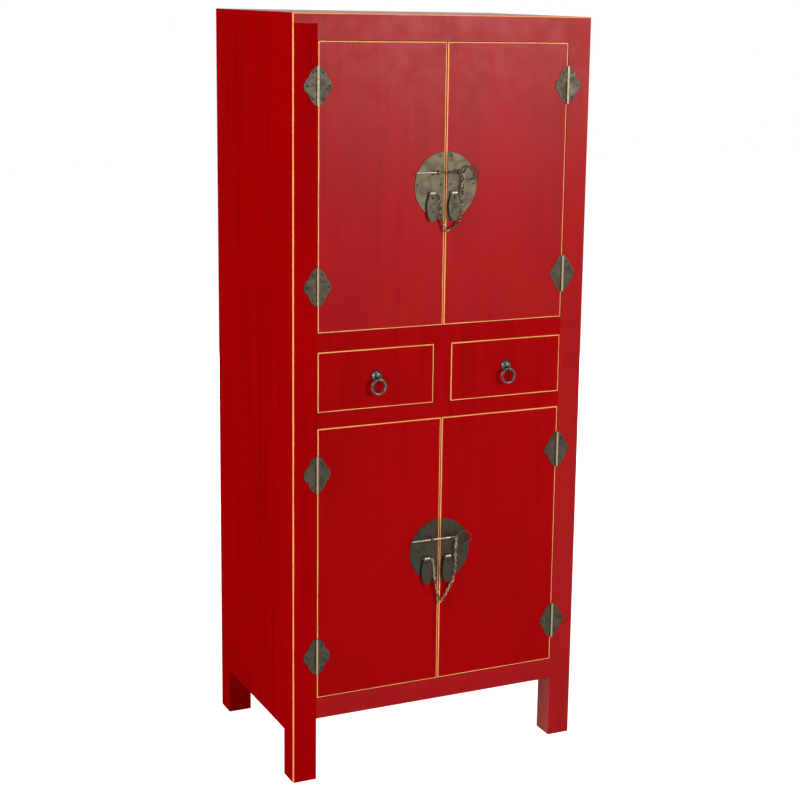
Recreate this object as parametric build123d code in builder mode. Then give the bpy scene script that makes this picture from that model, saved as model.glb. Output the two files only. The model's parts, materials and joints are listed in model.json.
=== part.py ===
"""Chinese wedding cabinet: two pairs of doors, two drawers, brass locks and hinges.

All sizes are in millimetres. +X points to the cabinet's right, +Y to its back and +Z up.
The origin is on the floor, under the middle of the whole cabinet with its hardware.
"""

import os
from math import hypot, sqrt

from build123d import *

os.makedirs("parts", exist_ok=True)

# Carcass
width = 500.0
depth = 350.0
height = 1200.0
top_thickness = 15.0
leg_width = 39.0
leg_depth = 40.0
rail_thickness = 22.0
panel_thickness = 15.0
back_thickness = 8.0
back_inset = 6.0
side_panel_low = 77.6
board_thickness = 10.0
tenon_length = 15.0
tenon_thickness = 8.0
tenon_shoulder = 4.0
tongue_length = 6.0
tongue_thickness = 6.0
joint_clearance = 0.1
carcass_round = 1.5
foot_round = 1.2

# Front, from the floor up: the upper doors' opening takes the rest of the height
bottom_rail_low = 103.2
bottom_rail_height = 33.3
lower_opening = 439.4
lower_rail_height = 23.4
drawer_opening = 96.0
upper_rail_height = 27.5
top_rail_height = 24.0
divider_width = 28.0

# Doors
door_thickness = 18.0
door_gap = 1.0
door_swing_clearance = 0.6
front_round = 1.0
stop_size = 10.0
stop_clearance = 0.3

# Inner boards
shelf_thickness = 12.0
shelf_setback = 30.0
cleat_size = 12.0

# Drawers
drawer_gap = 1.0
drawer_side = 10.0
drawer_side_gap = 1.5
drawer_run_gap = 0.3
drawer_box_height = 84.0
drawer_box_depth = 285.0
drawer_bottom = 5.0
drawer_bottom_rise = 8.0
drawer_groove = 5.0
guide_height = 20.0
guide_gap = 0.5

# Hinges
barrel_radius = 1.9
barrel_standoff = 0.1
hinge_pin_radius = 1.0
pin_clearance = 0.05
knuckle_gap = 0.3
leaf_thickness = 0.9
leaf_height = 58.0
leaf_reach = 22.0
lobe_reach = 15.0
leaf_step = 11.0
leaf_step_width = 2.5
leaf_step_slope = 1.6
leaf_crown = 3.0
leaf_gap = 0.6
hinge_pin_overhang = 0.6
hinge_insets = {"upper": (71.2, 65.5), "lower": (69.5, 71.9)}

# Nails
nail_shank_radius = 0.7
nail_shank_length = 9.0
nail_head_radius = 1.6
nail_head_height = 0.9
nail_crown_radius = 0.8
nail_inset = 4.5
lobe_nail_reach = 8.0
lobe_nail_rise = 19.0

# Round lock plates
plate_radius = 52.5
plate_thickness = 1.2
plate_setback = 2.0
plate_nails = ((9.0, 46.5), (8.5, 2.5), (48.0, 2.5))

# Latch pins and their eyes
latch_rise = 21.5
latch_standoff = 9.0
latch_radius = 1.4
latch_tip_radius = 0.8
latch_reach = 53.0
latch_split = 0.8
eye_offset = 17.5
eye_radius = 3.4
eye_wire_radius = 1.0
eye_stem_radius = 1.3
stem_clearance = 0.05
stem_tail = 2.0
latch_loop = ((28.0, 0.0), (31.5, 9.0), (45.0, 7.5), (53.5, -1.5), (50.5, -12.0), (37.0, -12.0))
latch_bend = 3.0

# Pulls and their pendants
pull_places = {"left": -23.5, "right": 13.5}
pull_drop = 10.5
pull_standoff = 4.6
pull_half_span = 6.5
pull_wire_radius = 1.2
pull_bend = 1.8
roll_radius = 2.3
roll_clearance = 0.08
roll_end_gap = 0.8
pendant_length = 44.0
pendant_half_width = 9.3
pendant_neck = 4.5
pendant_belly_share = 0.57
pendant_toe = 5.6
pendant_toe_rise = 3.6
pendant_thickness = 1.2
pendant_hole_radius = 1.3
pendant_hole_drop = 7.5

# Safety chains, as bare tubes round their links
chain_radius = 1.9
chain_bend = 5.7
chain_standoff = 6.6
chain_routes = {
    "left": ((-15.2, -13.4), (-11.4, -25.0), (-11.8, -40.0), (-8.5, -53.0)),
    "right": ((27.0, 19.7), (26.5, 3.0), (25.8, -14.0), (25.8, -38.0), (22.5, -52.0), (15.5, -64.0)),
}
chain_drop = {"upper": 69.0, "lower": 87.0}
chain_end = 0.6

# Drawer pulls
hardware_reach = 14.0
knob_radius = 9.3
knob_height = 6.5
knob_rise = 3.7
knob_round = 0.72
ring_eye_drop = 4.0
ring_radius = 11.4
ring_wire_radius = 2.1
ring_eye_wire_radius = 0.8
ring_eye_clearance = 0.4
knob_stem_radius = 2.0

# Places that follow from the sizes
half_width = width / 2
front = -(depth - hardware_reach) / 2
back = front + depth
carcass_top = height - top_thickness
stile_edge = half_width - leg_width
panel_inner = half_width - panel_thickness
bottom_rail_top = bottom_rail_low + bottom_rail_height
lower_opening_top = bottom_rail_top + lower_opening
drawer_floor = lower_opening_top + lower_rail_height
drawer_ceiling = drawer_floor + drawer_opening
upper_floor = drawer_ceiling + upper_rail_height
upper_opening_top = carcass_top - top_rail_height
rails = {
    "bottom": (bottom_rail_low, bottom_rail_top),
    "lower_middle": (lower_opening_top, drawer_floor),
    "upper_middle": (drawer_ceiling, upper_floor),
    "top": (upper_opening_top, carcass_top),
}
door_heights = {
    "upper": (upper_floor + door_gap, upper_opening_top - door_gap),
    "lower": (bottom_rail_top + door_gap, lower_opening_top - door_gap),
}
plate_heights = {level: (low + high) / 2 for level, (low, high) in door_heights.items()}
front_rail_span = (front, front + rail_thickness)
back_panel_span = (back - back_inset - back_thickness, back - back_inset)
rear_rail_span = (back_panel_span[0] - rail_thickness, back_panel_span[0])
board_span = (front_rail_span[1], rear_rail_span[0])
side_panel_span = (front + leg_depth, back - leg_depth)
hinge_x = stile_edge - door_gap / 2
hinge_y = front - barrel_standoff - barrel_radius
swing_width = hinge_x
swing_depth = door_thickness + front - hinge_y
middle_gap = hypot(swing_width, swing_depth) - swing_width + door_swing_clearance
door_outer = stile_edge - door_gap
door_inner = middle_gap / 2
drawer_outer = stile_edge - drawer_gap
drawer_inner = divider_width / 2 + drawer_gap
ring_eye_radius = ring_wire_radius + ring_eye_clearance + ring_eye_wire_radius
ring_y = front - hardware_reach + ring_eye_radius + ring_eye_wire_radius
knob_z = (drawer_floor + drawer_ceiling) / 2 + knob_rise
ring_pivot_z = knob_z - ring_eye_drop
latch_y = front - latch_standoff
pull_y = front - pull_standoff
chain_y = front - chain_standoff
sides = {"left": -1, "right": 1}
levels = ("upper", "lower")


def save(piece, name):
    """Labels a finished piece and writes it to its own STEP file."""
    piece.part.label = name
    export_step(piece.part, f"parts/{name}.step")


def block(x, y, z, mode=Mode.ADD):
    """Box between the (low, high) pairs x, y and z, given in any order, in the part being built."""
    spans = [sorted(pair) for pair in (x, y, z)]
    with Locations(tuple((low + high) / 2 for low, high in spans)):
        Box(*(high - low for low, high in spans), mode=mode)


def rod(axis, span, centre, radius, mode=Mode.ADD):
    """Round bar along axis "x", "y" or "z" over span, through the two other coordinates in centre."""
    middle = (span[0] + span[1]) / 2
    first, second = centre
    place = {
        "x": Location((middle, first, second), (0, 90, 0)),
        "y": Location((first, middle, second), (90, 0, 0)),
        "z": Location((first, second, middle)),
    }[axis]
    with Locations(place):
        Cylinder(radius, abs(span[1] - span[0]), mode=mode)


def board(z, y, setback=0.0):
    """Horizontal board over the depths y, notched round the legs; setback moves its front edge inwards."""
    low, high = y[0] + setback, y[1]
    block((-panel_inner, panel_inner), (low, high), z)
    for side in sides.values():
        corner = (side * stile_edge, side * half_width)
        block(corner, (front, front + leg_depth), z, Mode.SUBTRACT)
        block(corner, (back - leg_depth, back), z, Mode.SUBTRACT)


def tenon(side, rail_z, rail_y, clearance, mode):
    """Tenon on one end of a rail, or with clearance the mortise that takes it."""
    middle = (rail_y[0] + rail_y[1]) / 2
    half = tenon_thickness / 2 + clearance
    x = (side * stile_edge, side * (stile_edge + tenon_length + clearance))
    z = (rail_z[0] + tenon_shoulder - clearance, rail_z[1] - tenon_shoulder + clearance)
    block(x, (middle - half, middle + half), z, mode)


def rail(z, y):
    """Cross rail between the legs with a tenon on each end."""
    block((-stile_edge, stile_edge), y, z)
    for side in sides.values():
        tenon(side, z, y, 0, Mode.ADD)


def side_tongue(side, y, clearance, mode):
    """Tongue of a side panel over the depths y, or with clearance its groove in a leg."""
    middle = side * (panel_inner + panel_thickness / 2)
    half = tongue_thickness / 2 + clearance
    block((middle - half, middle + half), y, (side_panel_low - clearance, carcass_top), mode)


def nail(x, z, seat_y, mode=Mode.ADD):
    """Nail driven along +Y at x, z, with its head on seat_y; in Mode.SUBTRACT only its hole."""
    rod("y", (seat_y, seat_y + nail_shank_length), (x, z), nail_shank_radius, mode)
    if mode == Mode.ADD:
        with Locations(Location((x, seat_y - nail_head_height / 2, z), (90, 0, 0))):
            Cone(nail_head_radius, nail_crown_radius, nail_head_height)


def hinge_heights(level):
    """Heights of the middles of one door's two hinges."""
    low, high = door_heights[level]
    low_inset, high_inset = hinge_insets[level]
    return (low + low_inset, high - high_inset)


def hinge_nail_places(side, direction, level):
    """Nails of one door's hinges on the leaf that runs in direction (+1 or -1 along X)."""
    places = []
    for middle in hinge_heights(level):
        places.append((side * hinge_x + direction * (leaf_reach - nail_inset), middle))
        for end in (-1, 1):
            places.append((side * hinge_x + direction * lobe_nail_reach, middle + end * lobe_nail_rise))
    return places


def plate_nail_places(side, level):
    """Nails of one half of a lock plate."""
    return [(side * x, plate_heights[level] + z) for x, z in plate_nails]


def pull_leg_places(name, level):
    """The two places where a pull's staple enters the door."""
    z = plate_heights[level] - pull_drop
    return [(pull_places[name] + end * pull_half_span, z) for end in (-1, 1)]


def door_holes(name, level, y):
    """Holes for the eye's stem and the pull's staple through the depths y."""
    stem = (sides[name] * eye_offset, plate_heights[level] + latch_rise)
    rod("y", y, stem, eye_stem_radius + stem_clearance, Mode.SUBTRACT)
    for place in pull_leg_places(name, level):
        rod("y", y, place, pull_wire_radius + stem_clearance, Mode.SUBTRACT)


# Carcass: four legs with mortises for the rails and grooves for the panels
for side_name, side in sides.items():
    for end_name in ("front", "rear"):
        is_front = end_name == "front"
        outer_y = front if is_front else back
        inner_y = front + leg_depth if is_front else back - leg_depth
        groove_y = inner_y + (-tongue_length if is_front else tongue_length)
        rail_y = front_rail_span if is_front else rear_rail_span
        with BuildPart() as leg:
            block((side * stile_edge, side * half_width), (outer_y, inner_y), (0, carcass_top))
            upright = leg.edges().filter_by(Axis.Z)
            corner = (side * half_width, outer_y, carcass_top / 2)
            fillet(upright.sort_by_distance(corner)[0], carcass_round)
            fillet(leg.faces().sort_by(Axis.Z)[0].edges(), foot_round)
            for rail_z in rails.values():
                tenon(side, rail_z, rail_y, joint_clearance, Mode.SUBTRACT)
            side_tongue(side, (groove_y, inner_y), joint_clearance, Mode.SUBTRACT)
            if is_front:
                for level in levels:
                    for x, z in hinge_nail_places(side, side, level):
                        nail(x, z, front, Mode.SUBTRACT)
            else:
                groove_x = (side * stile_edge, side * (stile_edge + tongue_length))
                block(groove_x, back_panel_span, (bottom_rail_low, carcass_top), Mode.SUBTRACT)
        save(leg, f"{end_name}_{side_name}_leg")

with BuildPart() as top_board:
    block((-half_width, half_width), (front, back), (carcass_top, height))
    fillet(top_board.edges().filter_by(Axis.Z), carcass_round)
    fillet(top_board.faces().sort_by(Axis.Z)[-1].edges(), carcass_round)
save(top_board, "top_board")

front_rail_names = {
    "top_rail": ["top"],
    "middle_rails": ["upper_middle", "lower_middle"],
    "bottom_rail": ["bottom"],
}
for node, names in front_rail_names.items():
    with BuildPart() as front_rails:
        for rail_name in names:
            rail(rails[rail_name], front_rail_span)
    save(front_rails, node)

with BuildPart() as rear_rails:
    for rail_z in rails.values():
        rail(rail_z, rear_rail_span)
save(rear_rails, "rear_rails")

with BuildPart() as drawer_divider:
    half = divider_width / 2
    block((-half, half), front_rail_span, (drawer_floor, drawer_ceiling))
save(drawer_divider, "drawer_divider")

with BuildPart() as side_panels:
    tongue_span = (side_panel_span[0] - tongue_length, side_panel_span[1] + tongue_length)
    for side in sides.values():
        block((side * panel_inner, side * half_width), side_panel_span, (side_panel_low, carcass_top))
        side_tongue(side, tongue_span, 0, Mode.ADD)
save(side_panels, "side_panels")

with BuildPart() as back_panel:
    edge = stile_edge + tongue_length - joint_clearance
    block((-edge, edge), back_panel_span, (bottom_rail_low, carcass_top))
save(back_panel, "back_panel")

# Boards, the cleats under them and the strips that stop the doors
with BuildPart() as bottom_board:
    board((bottom_rail_top - board_thickness, bottom_rail_top), board_span)
save(bottom_board, "bottom_board")

with BuildPart() as decks:
    for top in (drawer_floor, upper_floor):
        board((top - board_thickness, top), board_span)
save(decks, "decks")

with BuildPart() as shelves:
    setback = shelf_setback - rail_thickness
    for middle in plate_heights.values():
        board((middle - shelf_thickness / 2, middle + shelf_thickness / 2), board_span, setback)
save(shelves, "shelves")

with BuildPart() as cleats:
    undersides = [top - board_thickness for top in (bottom_rail_top, drawer_floor, upper_floor)]
    undersides += [middle - shelf_thickness / 2 for middle in plate_heights.values()]
    for underside in undersides:
        for side in sides.values():
            cleat_x = (side * (panel_inner - cleat_size), side * panel_inner)
            block(cleat_x, side_panel_span, (underside - cleat_size, underside))
    stop_y = (front + door_thickness + stop_clearance, front_rail_span[1] + stop_size)
    for opening_top in (upper_opening_top, lower_opening_top):
        block((-stile_edge, stile_edge), stop_y, (opening_top - stop_size, opening_top))
save(cleats, "cleats")

with BuildPart() as drawer_guides:
    guide_z = (drawer_floor, drawer_floor + guide_height)
    half = divider_width / 2
    block((-half, half), board_span, guide_z)
    for side in sides.values():
        guide_x = (side * (stile_edge - drawer_gap), side * panel_inner)
        block(guide_x, side_panel_span, guide_z)
save(drawer_guides, "drawer_guides")


def hinge_leaf(side, direction, middle, own_knuckles, other_knuckles):
    """Three-lobed leaf from the axis in direction, with knuckles at its own heights round the pin bore."""
    axis_x = side * hinge_x

    def at(reach, rise):
        return (axis_x + direction * reach, middle + rise)

    half = leaf_height / 2
    inner = leaf_gap / 2
    step_out = lobe_reach + leaf_step_width
    step_high = leaf_step + leaf_step_slope / 2
    step_low = leaf_step - leaf_step_slope / 2
    shoulder = (leaf_crown + lobe_reach) / 2 + leaf_crown / 2
    shoulder_rise = (half + step_high) / 2 + leaf_crown / 2
    with BuildSketch(Plane.XZ.offset(-front)) as outline:
        with BuildLine():
            Line(at(inner, -half), at(inner, half))
            for end in (-1, 1):
                Line(at(inner, end * half), at(leaf_crown, end * half))
                low_end = at(lobe_reach, end * step_high)
                ThreePointArc(at(leaf_crown, end * half), at(shoulder, end * shoulder_rise), low_end)
                Line(low_end, at(step_out, end * step_low))
            ThreePointArc(at(step_out, step_low), at(leaf_reach, 0), at(step_out, -step_low))
        make_face()
    extrude(outline.sketch, amount=leaf_thickness)
    for low, high in other_knuckles:
        span = (middle + low - knuckle_gap / 2, middle + high + knuckle_gap / 2)
        rod("z", span, (axis_x, hinge_y), barrel_radius + knuckle_gap, Mode.SUBTRACT)
    for low, high in own_knuckles:
        rod("z", (middle + low, middle + high), (axis_x, hinge_y), barrel_radius)
    bore = (middle - leaf_height, middle + leaf_height)
    rod("z", bore, (axis_x, hinge_y), hinge_pin_radius + pin_clearance, Mode.SUBTRACT)


third = leaf_height / 6
outer_knuckles = [(-leaf_height / 2, -third), (third, leaf_height / 2)]
middle_knuckle = [(knuckle_gap - third, third - knuckle_gap)]

with BuildPart() as frame_hinge_leaves:
    for side in sides.values():
        for level in levels:
            for middle in hinge_heights(level):
                hinge_leaf(side, side, middle, outer_knuckles, middle_knuckle)
    for side in sides.values():
        for level in levels:
            for x, z in hinge_nail_places(side, side, level):
                nail(x, z, front - leaf_thickness, Mode.SUBTRACT)
save(frame_hinge_leaves, "frame_hinge_leaves")

with BuildPart() as hinge_pins:
    for side in sides.values():
        for level in levels:
            for middle in hinge_heights(level):
                half = leaf_height / 2 + hinge_pin_overhang
                rod("z", (middle - half, middle + half), (side * hinge_x, hinge_y), hinge_pin_radius)
save(hinge_pins, "hinge_pins")

with BuildPart() as frame_nails:
    for side in sides.values():
        for level in levels:
            for x, z in hinge_nail_places(side, side, level):
                nail(x, z, front - leaf_thickness)
save(frame_nails, "frame_nails")


def door_panel(name, level):
    """Flush door panel with rounded front edges and holes for its hardware."""
    side = sides[name]
    with BuildPart() as panel:
        x = (side * door_inner, side * door_outer)
        block(x, (front, front + door_thickness), door_heights[level])
        fillet(panel.faces().sort_by(Axis.Y)[0].edges(), front_round)
        door_holes(name, level, (front, front + door_thickness))
        for x, z in hinge_nail_places(side, -side, level) + plate_nail_places(side, level):
            nail(x, z, front, Mode.SUBTRACT)
    return panel


def lock_plate(name, level):
    """Half of the round plate, set back from the door's edge."""
    side = sides[name]
    middle = plate_heights[level]
    edge = door_inner + plate_setback
    crown = sqrt(plate_radius**2 - edge**2)
    with BuildPart() as plate:
        with BuildSketch(Plane.XZ.offset(-front)):
            with BuildLine():
                top = (side * edge, middle + crown)
                foot = (side * edge, middle - crown)
                ThreePointArc(top, (side * plate_radius, middle), foot)
                Line(foot, top)
            make_face()
        extrude(amount=plate_thickness)
        door_holes(name, level, (front, front - plate_thickness))
        for x, z in plate_nail_places(side, level):
            nail(x, z, front - plate_thickness, Mode.SUBTRACT)
    return plate


def wire(points, bend, radius):
    """Bent round wire through points, with every corner rounded by bend."""
    with BuildPart(mode=Mode.PRIVATE) as bent:
        with BuildLine() as path:
            FilletPolyline(*points, radius=bend)
        with BuildSketch(Plane(origin=path.line @ 0, z_dir=path.line % 0)):
            Circle(radius)
        sweep(path=path.line)
    return bent


def staples(name, level):
    """The closed eye that the latch pin runs through, and the staple that carries the pendant."""
    side = sides[name]
    eye_x = side * eye_offset
    eye_z = plate_heights[level] + latch_rise
    tail_y = front + door_thickness + stem_tail
    (first_x, z), (last_x, z) = pull_leg_places(name, level)
    corners = [(first_x, tail_y, z), (first_x, pull_y, z), (last_x, pull_y, z), (last_x, tail_y, z)]
    pull_wire = wire(corners, pull_bend, pull_wire_radius)
    with BuildPart() as pair:
        with Locations(Location((eye_x, latch_y, eye_z), (0, 90, 0))):
            Torus(eye_radius, eye_wire_radius)
        rod("y", (latch_y + eye_radius, tail_y), (eye_x, eye_z), eye_stem_radius)
        add(pull_wire.part)
    return pair


def pendant(name, level):
    """Leaf that hangs by a rolled top from a pull's staple."""
    middle_x = pull_places[name]
    pivot_z = plate_heights[level] - pull_drop
    half_roll = pull_half_span - pull_wire_radius - roll_end_gap
    belly = pendant_length * pendant_belly_share
    toe_drop = pendant_length - pendant_toe_rise

    def at(x, drop):
        return (middle_x + x, pivot_z - drop)

    with BuildPart() as leaf:
        with BuildSketch(Plane.XZ.offset(-pull_y - pendant_thickness / 2)):
            with BuildLine():
                Line(at(-pendant_neck, 0), at(pendant_neck, 0))
                for end in (-1, 1):
                    toe = at(end * pendant_toe, toe_drop)
                    ThreePointArc(at(end * pendant_neck, 0), at(end * pendant_half_width, belly), toe)
                ThreePointArc(at(-pendant_toe, toe_drop), at(0, pendant_length), at(pendant_toe, toe_drop))
            make_face()
        extrude(amount=pendant_thickness)
        rod("x", (middle_x - half_roll, middle_x + half_roll), (pull_y, pivot_z), roll_radius)
        bore = (middle_x - pull_half_span, middle_x + pull_half_span)
        rod("x", bore, (pull_y, pivot_z), pull_wire_radius + roll_clearance, Mode.SUBTRACT)
        hole_y = (pull_y - pendant_thickness, pull_y + pendant_thickness)
        rod("y", hole_y, (middle_x, pivot_z - pendant_hole_drop), pendant_hole_radius, Mode.SUBTRACT)
    return leaf


def latch_pin(level):
    """Handle half of a latch pin, from the doors' gap to its bent finger loop."""
    z = plate_heights[level] + latch_rise
    points = [(latch_split / 2, latch_y, z)] + [(x, latch_y, z + rise) for x, rise in latch_loop]
    return wire(points, latch_bend, latch_radius)


def latch_tip(level):
    """Tapered half of a latch pin, from its tip to the doors' gap."""
    z = plate_heights[level] + latch_rise
    with BuildPart() as tip:
        length = latch_reach - latch_split / 2
        with Locations(Location((-latch_reach + length / 2, latch_y, z), (0, 90, 0))):
            Cone(latch_tip_radius, latch_radius, length)
    return tip


def chain_half(name, level):
    """Tube round one half of the safety chain, from the left pull or the pin down to the doors' gap."""
    middle = plate_heights[level]
    end = (sides[name] * (chain_end + chain_radius), -chain_drop[level])
    points = [(x, chain_y, middle + z) for x, z in (*chain_routes[name], end)]
    return wire(points, chain_bend, chain_radius)


for level in levels:
    for name, side in sides.items():
        prefix = f"{level}_{name}"
        save(door_panel(name, level), f"{prefix}_door_panel")
        with BuildPart() as door_leaves:
            for middle in hinge_heights(level):
                hinge_leaf(side, -side, middle, middle_knuckle, outer_knuckles)
            for x, z in hinge_nail_places(side, -side, level):
                nail(x, z, front - leaf_thickness, Mode.SUBTRACT)
        save(door_leaves, f"{prefix}_hinge_leaves")
        save(lock_plate(name, level), f"{prefix}_lock_plate")
        with BuildPart() as door_nails:
            for x, z in hinge_nail_places(side, -side, level):
                nail(x, z, front - leaf_thickness)
            for x, z in plate_nail_places(side, level):
                nail(x, z, front - plate_thickness)
        save(door_nails, f"{prefix}_nails")
        save(staples(name, level), f"{prefix}_staples")
        save(pendant(name, level), f"{prefix}_pendant")
        save(chain_half(name, level), f"{level}_chain_{name}")
    save(latch_pin(level), f"{level}_latch_pin")
    save(latch_tip(level), f"{level}_latch_tip")

# Drawers
for name, side in sides.items():
    outer, inner = side * drawer_outer, side * drawer_inner
    knob_x = (outer + inner) / 2
    front_z = (drawer_floor + drawer_gap, drawer_ceiling - drawer_gap)
    with BuildPart() as drawer_front:
        block((inner, outer), (front, front + door_thickness), front_z)
        fillet(drawer_front.faces().sort_by(Axis.Y)[0].edges(), front_round)
        stem_y = (front, front + door_thickness)
        rod("y", stem_y, (knob_x, knob_z), knob_stem_radius + stem_clearance, Mode.SUBTRACT)
    save(drawer_front, f"{name}_drawer_front")

    box_outer = side * (stile_edge - drawer_side_gap)
    box_inner = side * (divider_width / 2 + drawer_side_gap)
    box_y = (front + door_thickness, front + door_thickness + drawer_box_depth)
    box_z = (drawer_floor + drawer_run_gap, drawer_floor + drawer_run_gap + drawer_box_height)
    bottom_z = (box_z[0] + drawer_bottom_rise, box_z[0] + drawer_bottom_rise + drawer_bottom)
    wall_inner_faces = (box_inner + side * drawer_side, box_outer - side * drawer_side)
    groove_x = (box_inner + side * drawer_groove, box_outer - side * drawer_groove)
    back_y = (box_y[1] - drawer_side, box_y[1])
    with BuildPart() as drawer_bottom_board:
        block(groove_x, (box_y[0], back_y[0]), bottom_z)
    with BuildPart() as drawer_box:
        block((box_inner, wall_inner_faces[0]), box_y, box_z)
        block((box_outer, wall_inner_faces[1]), box_y, box_z)
        block(groove_x, (box_y[0], back_y[0]), bottom_z, Mode.SUBTRACT)
    with BuildPart() as drawer_back:
        block(wall_inner_faces, back_y, box_z)
    pieces = [*drawer_box.part.solids(), *drawer_back.part.solids(), *drawer_bottom_board.part.solids()]
    box_group = Compound(children=pieces, label=f"{name}_drawer_box")
    export_step(box_group, f"parts/{name}_drawer_box.step")

    with BuildPart() as drawer_pull:
        knob_plane = Plane(origin=(knob_x, front, knob_z), x_dir=(1, 0, 0), z_dir=(0, 0, 1))
        with BuildSketch(knob_plane):
            with BuildLine():
                shoulder = (knob_radius * knob_round, -knob_height * knob_round)
                Line((0, 0), (knob_radius, 0))
                ThreePointArc((knob_radius, 0), shoulder, (0, -knob_height))
                Line((0, -knob_height), (0, 0))
            make_face()
        revolve(axis=Axis((knob_x, front, knob_z), (0, 1, 0)))
        with Locations(Location((knob_x, ring_y, ring_pivot_z), (0, 90, 0))):
            Torus(ring_eye_radius, ring_eye_wire_radius)
        rod("y", (front, front + door_thickness), (knob_x, knob_z), knob_stem_radius)
    save(drawer_pull, f"{name}_drawer_pull")

    with BuildPart() as drawer_ring:
        with Locations(Location((knob_x, ring_y, ring_pivot_z - ring_radius), (90, 0, 0))):
            Torus(ring_radius, ring_wire_radius)
    save(drawer_ring, f"{name}_drawer_ring")
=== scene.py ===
"""Finish, small hardware, chains and stage of the red lacquered wedding cabinet."""

import json
import math

import bmesh
import bpy
from bpy.props import FloatProperty, FloatVectorProperty, IntProperty, PointerProperty
from mathutils import Euler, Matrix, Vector


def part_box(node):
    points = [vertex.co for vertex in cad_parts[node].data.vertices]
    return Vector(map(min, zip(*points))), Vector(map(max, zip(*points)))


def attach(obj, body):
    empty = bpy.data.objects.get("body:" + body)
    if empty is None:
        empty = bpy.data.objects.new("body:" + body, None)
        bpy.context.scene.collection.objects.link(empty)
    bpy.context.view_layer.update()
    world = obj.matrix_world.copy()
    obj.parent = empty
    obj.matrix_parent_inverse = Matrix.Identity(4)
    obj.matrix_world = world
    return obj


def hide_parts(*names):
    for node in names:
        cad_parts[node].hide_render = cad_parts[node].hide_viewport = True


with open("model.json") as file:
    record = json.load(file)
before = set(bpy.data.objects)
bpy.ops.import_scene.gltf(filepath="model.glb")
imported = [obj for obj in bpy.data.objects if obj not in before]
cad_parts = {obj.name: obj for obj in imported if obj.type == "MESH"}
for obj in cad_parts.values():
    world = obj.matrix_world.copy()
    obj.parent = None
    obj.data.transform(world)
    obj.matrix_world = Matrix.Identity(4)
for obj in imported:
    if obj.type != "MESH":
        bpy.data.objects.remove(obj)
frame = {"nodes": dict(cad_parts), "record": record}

bl_info = {
    "name": "Wedding Cabinet Finish",
    "version": (1, 0, 0),
    "blender": (4, 5, 0),
    "location": "View3D > Sidebar > Cabinet",
    "description": "Lacquer, aged brass, nails, chains and a plain studio for a wedding cabinet",
    "category": "Object",
}

MM = 0.001
LEVELS = ("upper", "lower")
SIDES = ("left", "right")

# Radii of the hinges' barrels and pins, the pendants' rolled tops and the latch pins
HINGE_BARREL = 0.0019
HINGE_PIN = 0.0010
ROLL = 0.0023
PIN_RADIUS = 0.0014

# Corners closer than this are one corner
MERGE = 0.00001
# Faces that meet at a smaller angle are one flat face
FLAT_ANGLE = math.radians(0.5)
# Edges sharper than this are filed
FILED_ANGLE = math.radians(50)
# Edges sharper than these are shaded sharp, on sheet metal and on boards
SHEET_SHARP = math.radians(20)
BOARD_SHARP = math.radians(5)
# A face of the top board whose normal leans further than this along X belongs to its ends
END_LEAN = 0.3

# Route of each chain half from its upper end: millimetres from the middle of the lock plate
CHAIN_ROUTES = {
    "left": ((-15.2, -13.4), (-11.4, -25.0), (-11.8, -40.0), (-8.5, -53.0)),
    "right": ((27.0, 19.7), (26.5, 3.0), (25.8, -14.0), (25.8, -38.0), (22.5, -52.0), (15.5, -64.0)),
}
# X of each chain half's lower end, in millimetres
CHAIN_FOOT = {"left": -1.8, "right": 1.8}
# Corner points of the latch pin's bent handle: millimetres from the pin's line at the doors' gap
PIN_HANDLE = ((28.0, 0.0), (31.5, 9.0), (45.0, 7.5), (53.5, -1.5), (50.5, -12.0), (37.0, -12.0))
# Largest odd twist of a link, in radians
UNEVEN_TWIST = 0.35
# The pin's colour is brighter to the left of this X
PIN_BRIGHT_LEFT_OF = {"upper": -0.016, "lower": 0.020}
# Where the noise of the chains' painted glints starts to show
GLINT_START = {"upper": 0.54, "lower": 0.44}

# Strength of the world's light on surfaces; the world in sight is white
WORLD_FILL = 0.08
# Glow of the floor in sight, and half its width
FLOOR_GLOW = 0.92
FLOOR_REACH = 9.0
# Width of the camera's sensor in millimetres, and the farthest distance that it shows
SENSOR_WIDTH = 36.0
CLIP_END = 50.0
# Place, aim, width and height, and power of each lamp
LAMPS = {
    "front_softbox": ((1.2, -2.6, 1.42), (0.0, -0.15, 1.0), (1.0, 1.0), 58.0),
    "left_softbox": ((-3.2, -0.9, 1.6), (0.0, 0.0, 0.6), (1.6, 2.2), 94.0),
    "right_key": ((3.2, -2.6, 2.4), (0.0, 0.0, 0.6), (0.7, 0.7), 8.0),
    "top_softbox": ((0.0, -1.0, 3.4), (0.0, 0.0, 0.6), (2.2, 1.6), 12.0),
    "rear_softbox": ((1.1, 3.0, 0.62), (0.0, 0.2, 0.6), (1.6, 0.9), 50.0),
}

# The ochre line of a door or drawer front fades out between these depths behind its face
LINE_DEPTHS = (0.0008, 0.0013)
# A streak's width as a share of its length
STREAK_SHARE = 0.045
# How many times narrower the ochre line is on one face of a corner than on the other
NARROWER = {"left_side": 1.1, "right_front": 3.0, "top_front": 1.2}
# Strength of the reflections on matt lacquer
MATT_SHINE = 0.0

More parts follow.
